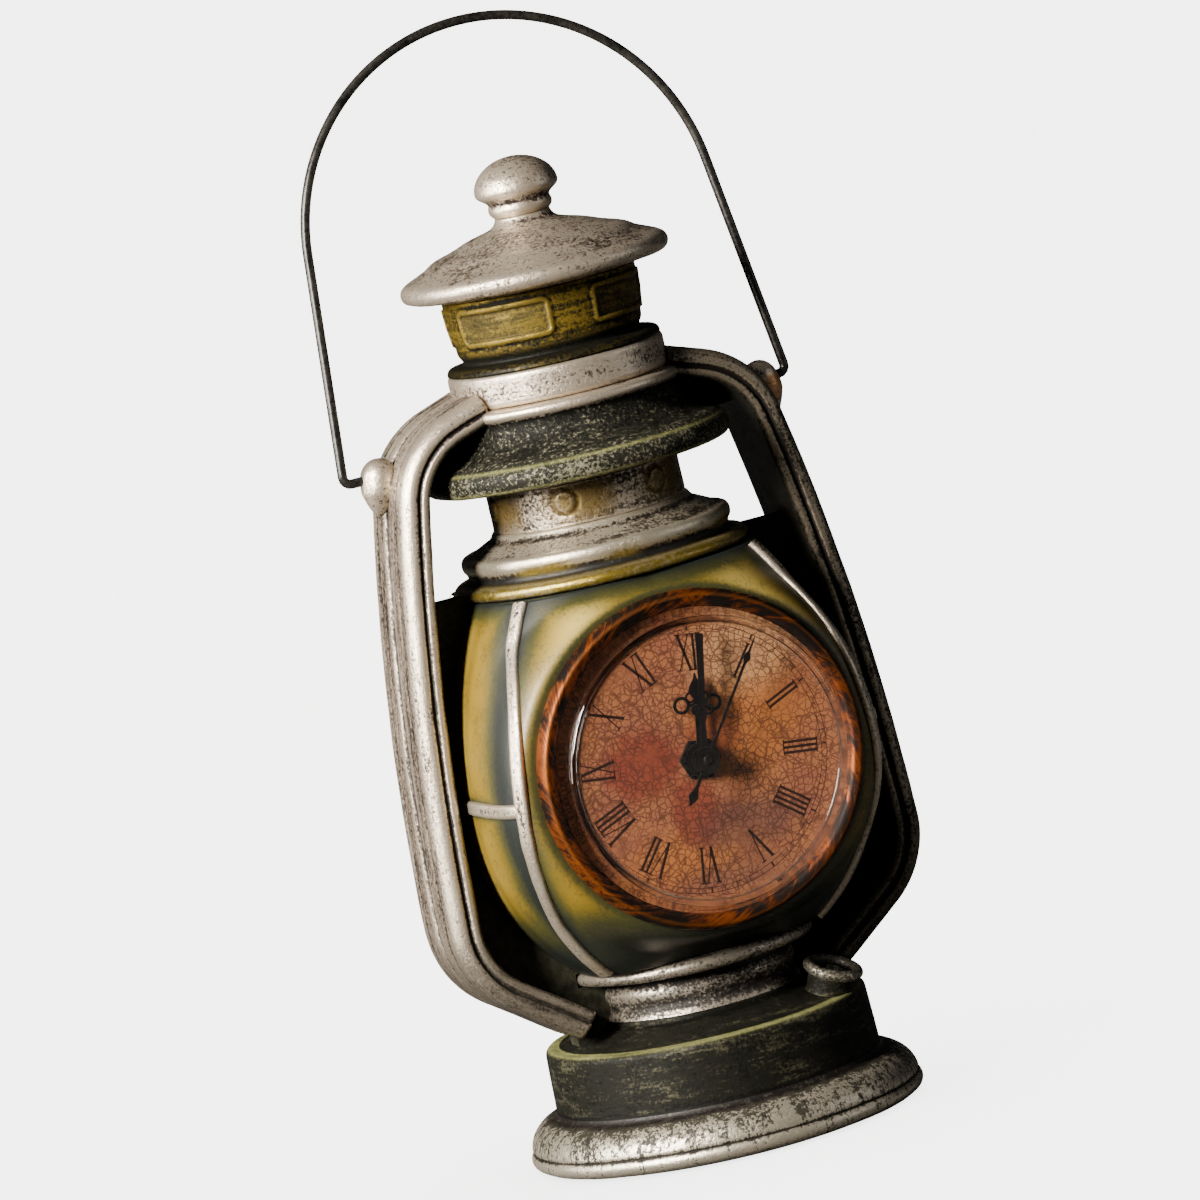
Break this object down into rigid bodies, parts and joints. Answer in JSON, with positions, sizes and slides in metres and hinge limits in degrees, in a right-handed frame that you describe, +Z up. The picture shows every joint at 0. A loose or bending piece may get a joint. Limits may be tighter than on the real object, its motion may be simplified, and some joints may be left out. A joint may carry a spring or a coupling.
{
  "type": "lantern desk clock",
  "caption": "Desk clock shaped like a hurricane lantern, with a hollow foot, bulging globe, hooded chimney, side tubes, swinging wire bail and a push-in clock insert with its gear train.",
  "frame": {"origin": "centre of the underside, on the surface it stands on", "axes": "+Z up, the dial faces -Y, the ears of the bail lie along X"},
  "size_m": [0.1208, 0.0991, 0.2744],
  "materials": {
    "felt": "soft pressed felt",
    "olive_resin": "near-black olive paint with rubbed yellow-green edges",
    "silver_resin": "warm silver dry-brushed over gray-brown, dark in the grooves",
    "dark_resin": "dark olive with silver and copper rubbed edges",
    "gold_resin": "airbrushed yellow gold with cream highlights, slate beside the wires",
    "vent_resin": "dark olive with golden panels",
    "guard_paint": "silver rubbed over slate",
    "filler_paint": "rubbed silver over olive",
    "wire": "black enamelled wire",
    "bezel_paint": "copper orange with black streaks",
    "clear": "clear polished",
    "dial_print": "copper-rose crackle with printed numerals",
    "white_plastic": "off-white moulded",
    "black_rubber": "matt black",
    "black_hands": "satin black lacquer",
    "brass": "turned",
    "black_plastic": "moulded",
    "steel": "bright",
    "magnet_wire": "lacquered copper wire, wound",
    "board": "green solder resist"
  },
  "bodies": {
    "lantern": {"base": "olive_resin", "felt_pad": "felt", "filler_cap": "filler_paint", "burner_neck": "silver_resin", "globe": "gold_resin", "left_guard": "guard_paint", "right_guard": "guard_paint", "gallery": "silver_resin", "chimney_neck": "dark_resin", "hood": "olive_resin", "collar": "silver_resin", "vent_band": "vent_resin", "cap": "silver_resin", "cap_knob": "silver_resin", "left_side_tube": "silver_resin", "right_side_tube": "dark_resin"},
    "bail": {"bail": "wire"},
    "clock_insert": {"bezel": "bezel_paint", "lens": "clear", "dial": "dial_print", "insert_can": "white_plastic", "gasket": "black_rubber", "dial_nut": "brass", "movement_plate": "white_plastic", "movement_case": "white_plastic", "case_screws": "steel", "stator": "steel", "coil_bobbin": "white_plastic", "coil_winding": "magnet_wire", "circuit_board": "board", "quartz_crystal": "steel", "button_cell": "steel", "cell_clip": "steel", "cell_contact": "steel"},
    "second": {"second_wheel": "brass", "second_hand": "black_hands"},
    "fifth": {"fifth_wheel": "white_plastic"},
    "rotor": {"rotor": "steel"},
    "third": {"third_wheel": "brass"},
    "centre": {"centre_wheel": "brass"},
    "minute": {"cannon_pinion": "brass", "minute_hand": "black_hands"},
    "setting": {"setting_wheel": "white_plastic", "setting_knob": "black_plastic"},
    "hour": {"hour_wheel": "white_plastic", "hour_hand": "black_hands"}
  },
  "joints": [
    {"name": "insert_pull", "type": "slide", "parent": "lantern", "child": "clock_insert", "axis": [0, -1, 0], "range_m": [0, 0.03]},
    {"name": "bail_swing", "type": "hinge", "parent": "lantern", "child": "bail", "pos_m": [0, 0, 0.1735], "axis": [1, 0, 0], "range_deg": [-122, 122]},
    {"name": "second_spin", "type": "hinge", "parent": "clock_insert", "child": "second", "pos_m": [0, -0.041, 0.0944], "axis": [0, 1, 0], "continuous": true},
    {"name": "fifth_spin", "type": "hinge", "parent": "clock_insert", "child": "fifth", "pos_m": [0.00908, -0.041, 0.09641], "axis": [0, 1, 0], "continuous": true},
    {"name": "rotor_spin", "type": "hinge", "parent": "clock_insert", "child": "rotor", "pos_m": [0.01273, -0.041, 0.10117], "axis": [0, 1, 0], "continuous": true},
    {"name": "third_spin", "type": "hinge", "parent": "clock_insert", "child": "third", "pos_m": [-0.00879, -0.041, 0.09245], "axis": [0, 1, 0], "continuous": true},
    {"name": "centre_spin", "type": "hinge", "parent": "clock_insert", "child": "centre", "pos_m": [0, -0.041, 0.0944], "axis": [0, 1, 0], "continuous": true},
    {"name": "minute_spin", "type": "hinge", "parent": "clock_insert", "child": "minute", "pos_m": [0, -0.041, 0.0944], "axis": [0, 1, 0], "continuous": true},
    {"name": "setting_spin", "type": "hinge", "parent": "clock_insert", "child": "setting", "pos_m": [0.00208, -0.041, 0.08503], "axis": [0, 1, 0], "continuous": true},
    {"name": "hour_spin", "type": "hinge", "parent": "clock_insert", "child": "hour", "pos_m": [0, -0.041, 0.0944], "axis": [0, 1, 0], "continuous": true}
  ],
  "couplings": [
    {"joint": "fifth_spin", "follows": "second_spin", "ratio": -6},
    {"joint": "rotor_spin", "follows": "second_spin", "ratio": 30},
    {"joint": "third_spin", "follows": "second_spin", "ratio": -0.125},
    {"joint": "centre_spin", "follows": "second_spin", "ratio": 0.016667},
    {"joint": "minute_spin", "follows": "setting_spin", "ratio": -3},
    {"joint": "hour_spin", "follows": "setting_spin", "ratio": -0.25}
  ]
}
